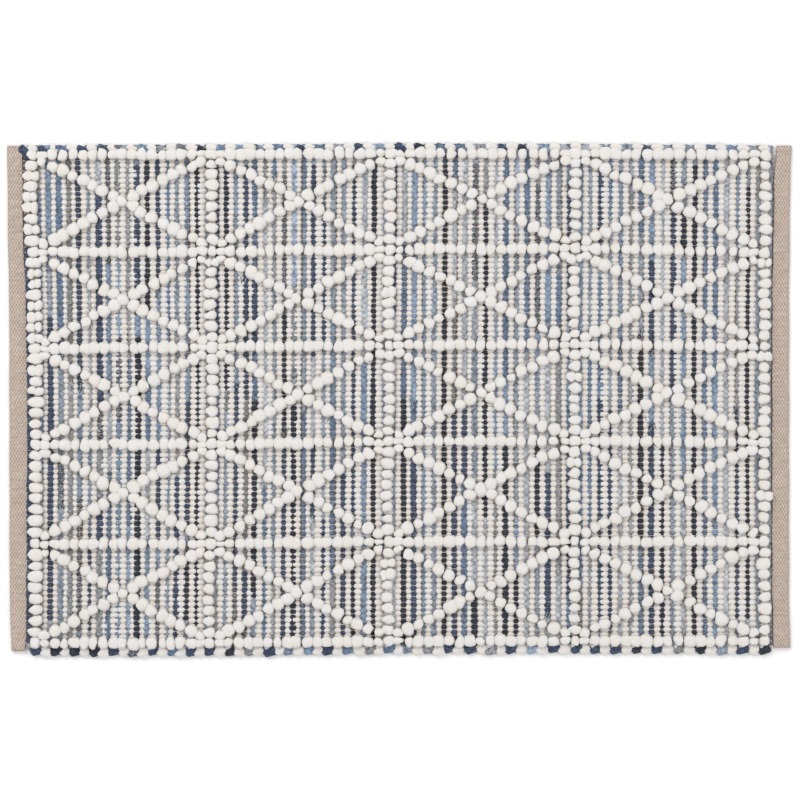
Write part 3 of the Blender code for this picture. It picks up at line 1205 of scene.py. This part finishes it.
# %% [markdown]
# ## Frayed ends
#
# Where one rag ends and the next begins, the torn ends stick out as a small tuft. Hair
# particles could make it, but a handful of short single threads from the yarn tree does
# as well. Some are dyed and some white. Only some joins show, because the weaver tucks
# most of them in.

# %% Leave some ends frayed
TUFTS = 40
TUFT_THREADS = 12
TUFT_LEVEL = 0.0062
TUFT_SPREAD = (0.0018, 0.0014, 0.0002)  # across, along and up the weft, in metres
FRAY_RADIUS = 0.00042
FRAY_REACH = (0.004, 0.009)
FRAY_TURN = 0.7  # radians to each side of straight along the weft
FRAY_RISE = 0.0012
FRAY_GIRTH = (1.0, 1.0, 0.4)  # at its three points
FRAY_SECOND = 0.6  # where the second of them lies, as a share of its length
WHITE_THREAD = (0.62, 0.64, 0.66, 0.2)
frays = []
shown = luck.choice(len(joins), TUFTS, replace=False)
for number, row, tint in (joins[k] for k in shown):
    if not 1 < row < ROWS - 1:
        continue
    x, y = (float(v) for v in on_rug(number - 0.5, row))
    for thread in range(TUFT_THREADS):
        start = np.array([x, y, TUFT_LEVEL]) + luck.normal(0, TUFT_SPREAD)
        turn = luck.uniform(-FRAY_TURN, FRAY_TURN)
        way = turn + (math.pi / 2 if thread % 2 else -math.pi / 2)
        reach = luck.uniform(*FRAY_REACH)
        rise = luck.uniform(0.0, FRAY_RISE)
        step = np.array([math.cos(way) * reach, math.sin(way) * reach, rise])
        frays.append(
            {
                "points": np.stack([start, start + step * FRAY_SECOND, start + step]),
                "top": np.ones(3),
                "girth": np.array(FRAY_GIRTH),
                "tint": np.tile(tint if thread % 3 else WHITE_THREAD, (3, 1)),
            }
        )
radii = (FRAY_RADIUS, FRAY_RADIUS)
cloth["frayed_ends"] = spin("frayed_ends", frays, denim, *radii, 20, Sides=3, Fullness=1.0)

# %% [markdown]
# ## The binding tapes
#
# Each tape is a flat strip, folded lengthwise over the rug's raw end. A bent box would
# have hard corners and no thickness at its sewn edge. So the tape is one sheet swept
# along the end in its folded section, with a real thickness, a soft fold and a wavy sewn
# edge. Its own map lets the twill follow the fold.

# %% Work out the folded section
TAPE_THICKNESS = 0.0012
FOLD_HEIGHT = 0.0055
TAPE_SECTIONS = 150
LOWER_STEPS, ROUND_STEPS, UPPER_STEPS = 8, 8, 16
FOLD_WAVE, FOLD_WAVES = 0.0002, 41  # how far the fold strays, and how often along the tape
SEAM_WAVE, SEAM_WAVES = 0.0003, 63
SAG_WAVE, SAG_WAVES = 0.00018, 40
TAPE_EDGES = {
    # from the near end, 0, to the far one, 1; the fold and the sewn edge, mm from the middle
    "binding_left": (
        (0.00, 451.5, 436),
        (0.12, 453.5, 432),
        (0.68, 454, 433),
        (0.80, 455.5, 438),
        (1.00, 456.5, 439),
    ),
    "binding_right": (
        (0.00, 456, 437),
        (0.10, 454.5, 435),
        (0.70, 454.5, 435),
        (0.95, 456, 438),
        (1.00, 458, 441),
    ),
}


def fold_line(width, height):
    """The middle line of the folded tape, as distances in from the fold and heights."""
    radius = height / 2
    flat = width - radius
    points = [(width - flat * k / LOWER_STEPS, 0.0) for k in range(LOWER_STEPS + 1)]
    for k in range(1, ROUND_STEPS):
        angle = math.pi * k / ROUND_STEPS
        points.append((radius - radius * math.sin(angle), radius - radius * math.cos(angle)))
    return points + [(radius + flat * k / UPPER_STEPS, height) for k in range(UPPER_STEPS + 1)]


def tape_section(name, side, share, y):
    """Points of the outer and the inner side of one section, and its lengths so far."""
    shares, folds, sewn = np.array(TAPE_EDGES[name]).T
    t = TAPE_THICKNESS
    fold = np.interp(share, shares, folds) / 1000
    fold = fold + FOLD_WAVE * math.sin(share * FOLD_WAVES + side)
    seam = np.interp(share, shares, sewn) / 1000
    width = fold - seam + SEAM_WAVE * math.sin(share * SEAM_WAVES)
    line = fold_line(width, FOLD_HEIGHT - t)
    sag = SAG_WAVE * math.sin(share * SAG_WAVES + side)
    outer, inner, lengths, run = [], [], [], 0.0
    for n, (a, z) in enumerate(line):
        run += math.dist(line[max(n - 1, 0)], (a, z))
        before, after = line[max(n - 1, 0)], line[min(n + 1, len(line) - 1)]
        dx, dz = after[0] - before[0], after[1] - before[1]
        size = math.hypot(dx, dz)
        nx, nz = -dz / size, dx / size  # towards the outside of the fold
        z = z + t / 2 + (sag if z > FOLD_HEIGHT / 2 else 0)
        outer.append((side * (fold - t / 2 - a + nx * -t / 2), y, z - nz * t / 2))
        inner.append((side * (fold - t / 2 - a - nx * -t / 2), y, z + nz * t / 2))
        lengths.append(run)
    return outer, inner, lengths


print("a section has", len(fold_line(0.02, FOLD_HEIGHT)), "points on each side")

# %% Fold the tapes


def fold_tape(name, node, side):
    """One tape, folded round the heading of the woven field."""
    low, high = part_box(node)
    long = high.y - low.y
    shares = [k / TAPE_SECTIONS for k in range(TAPE_SECTIONS + 1)]
    rows = [tape_section(name, side, share, low.y + long * share) for share in shares]
    points = [point for layer in (0, 1) for row in rows for point in row[layer]]
    count = len(rows[0][0])
    faces, spots = [], []

    def face(*corners):
        """One face, each corner given as its layer, section and place across."""
        faces.append([(layer * len(rows) + k) * count + n for layer, k, n in corners])
        spots.extend((rows[k][2][n], long * k / TAPE_SECTIONS) for _, k, n in corners)

    for k in range(TAPE_SECTIONS):
        for n in range(count - 1):
            square = ((k, n), (k + 1, n), (k + 1, n + 1), (k, n + 1))
            face(*((0, *corner) for corner in square[::-1]))
            face(*((1, *corner) for corner in square))
        for n in (0, count - 1):
            face((0, k, n), (0, k + 1, n), (1, k + 1, n), (1, k, n))
    for k in (0, TAPE_SECTIONS):
        for n in range(count - 1):
            face((0, k, n), (0, k, n + 1), (1, k, n + 1), (1, k, n))
    mesh = bpy.data.meshes.new(name)
    mesh.from_pydata(points, [], faces)
    keep_map(mesh, "tape_metres", *zip(*spots))
    bm = bmesh.new()
    bm.from_mesh(mesh)
    bmesh.ops.recalc_face_normals(bm, faces=bm.faces)
    bm.to_mesh(mesh)
    bm.free()
    mesh.shade_smooth()
    mesh.materials.append(twill_tape)
    print(name, len(mesh.polygons), "faces,", round(long * 1000), "mm long")
    return added(name, mesh)


tapes = {
    "binding_left": fold_tape("binding_left", "tape_left", -1),
    "binding_right": fold_tape("binding_right", "tape_right", 1),
}

# %% [markdown]
# ## Joining the pieces to the model
#
# Every yarn piece stands for the plain solid of the woven field, and each folded tape for
# its own solid. All ride on the one body, because cloth has no joints.

# %% Tie the pieces to the frame
for name, piece in cloth.items():
    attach(piece, "root")
    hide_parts("woven_field")
for name, node in (("binding_left", "tape_left"), ("binding_right", "tape_right")):
    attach(tapes[name], "root")
    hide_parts(node)
print(len(cloth) + len(tapes), "pieces")

# %% [markdown]
# ## The floor
#
# The rug was photographed on white. A curved backdrop would do the same from the side,
# but from above a large pale sheet is all that shows.

# %% Lay the floor
FLOOR_SIZE = 6.0
FLOOR_WHITE = (0.93, 0.93, 0.93, 1)
FLOOR_ROUGHNESS = 0.9
corner = FLOOR_SIZE / 2
floor_mesh = bpy.data.meshes.new("floor")
floor_mesh.from_pydata(
    [(-corner, -corner, 0), (corner, -corner, 0), (corner, corner, 0), (-corner, corner, 0)],
    [],
    [(0, 1, 2, 3)],
)
floor_paint = bpy.data.materials.new("floor_paint")
floor_paint.use_nodes = True
floor_shader = floor_paint.node_tree.nodes["Principled BSDF"]
floor_shader.inputs["Base Color"].default_value = FLOOR_WHITE
floor_shader.inputs["Roughness"].default_value = FLOOR_ROUGHNESS
floor_mesh.materials.append(floor_paint)
floor = added("floor", floor_mesh)
print("floor", FLOOR_SIZE, "m wide")

# %% [markdown]
# ## The light
#
# The photo was lit softly from all round, with a little more from the upper left. A sun
# would draw hard shadows between the bobbles. So a white room gives most of the light,
# and two large square lamps give the rest.

# %% Set the lights
ROOM_LIGHT = 0.80


def soft_light(name, place, size, power):
    """A square light that looks at the middle of the rug."""
    lamp = bpy.data.lights.new(name, "AREA")
    lamp.shape = "SQUARE"
    lamp.size = size
    lamp.energy = power
    ob = added(name, lamp)
    ob.location = place
    ob.rotation_euler = Vector(place).to_track_quat("Z", "Y").to_euler()
    print(name, "light of", power, "W at", place)


soft_light("key", (-1.5, 1.7, 2.4), 1.6, 38)
soft_light("fill", (1.8, 0.0, 2.6), 2.2, 18)
world = bpy.data.worlds.new("room")
world.use_nodes = True
world.node_tree.nodes["Background"].inputs["Color"].default_value = (1, 1, 1, 1)
world.node_tree.nodes["Background"].inputs["Strength"].default_value = ROOM_LIGHT
bpy.context.scene.world = world
bpy.context.scene.view_settings.view_transform = "Standard"

# %% [markdown]
# ## The camera
#
# The rug was photographed from straight above. A flat projection without a lens would
# hide the sides of the bobbles, so the camera has a long lens and looks straight down
# from three metres. That keeps the rug's edges parallel too.

# %% Set the camera
PHOTO_WIDTH = 800 * 0.001166  # metres of floor across the photograph
CAMERA_HEIGHT = 3.0
CAMERA_PLACE = (0.0012, -0.0006)  # the rug is a little off the photo's middle
lens = bpy.data.cameras.new("camera")
lens.sensor_width = 36.0
lens.lens = lens.sensor_width / 2 / (PHOTO_WIDTH / 2 / CAMERA_HEIGHT)
camera = added("camera", lens)
camera.location = (*CAMERA_PLACE, CAMERA_HEIGHT)
bpy.context.scene.camera = camera
print("lens", round(lens.lens, 1), "mm")
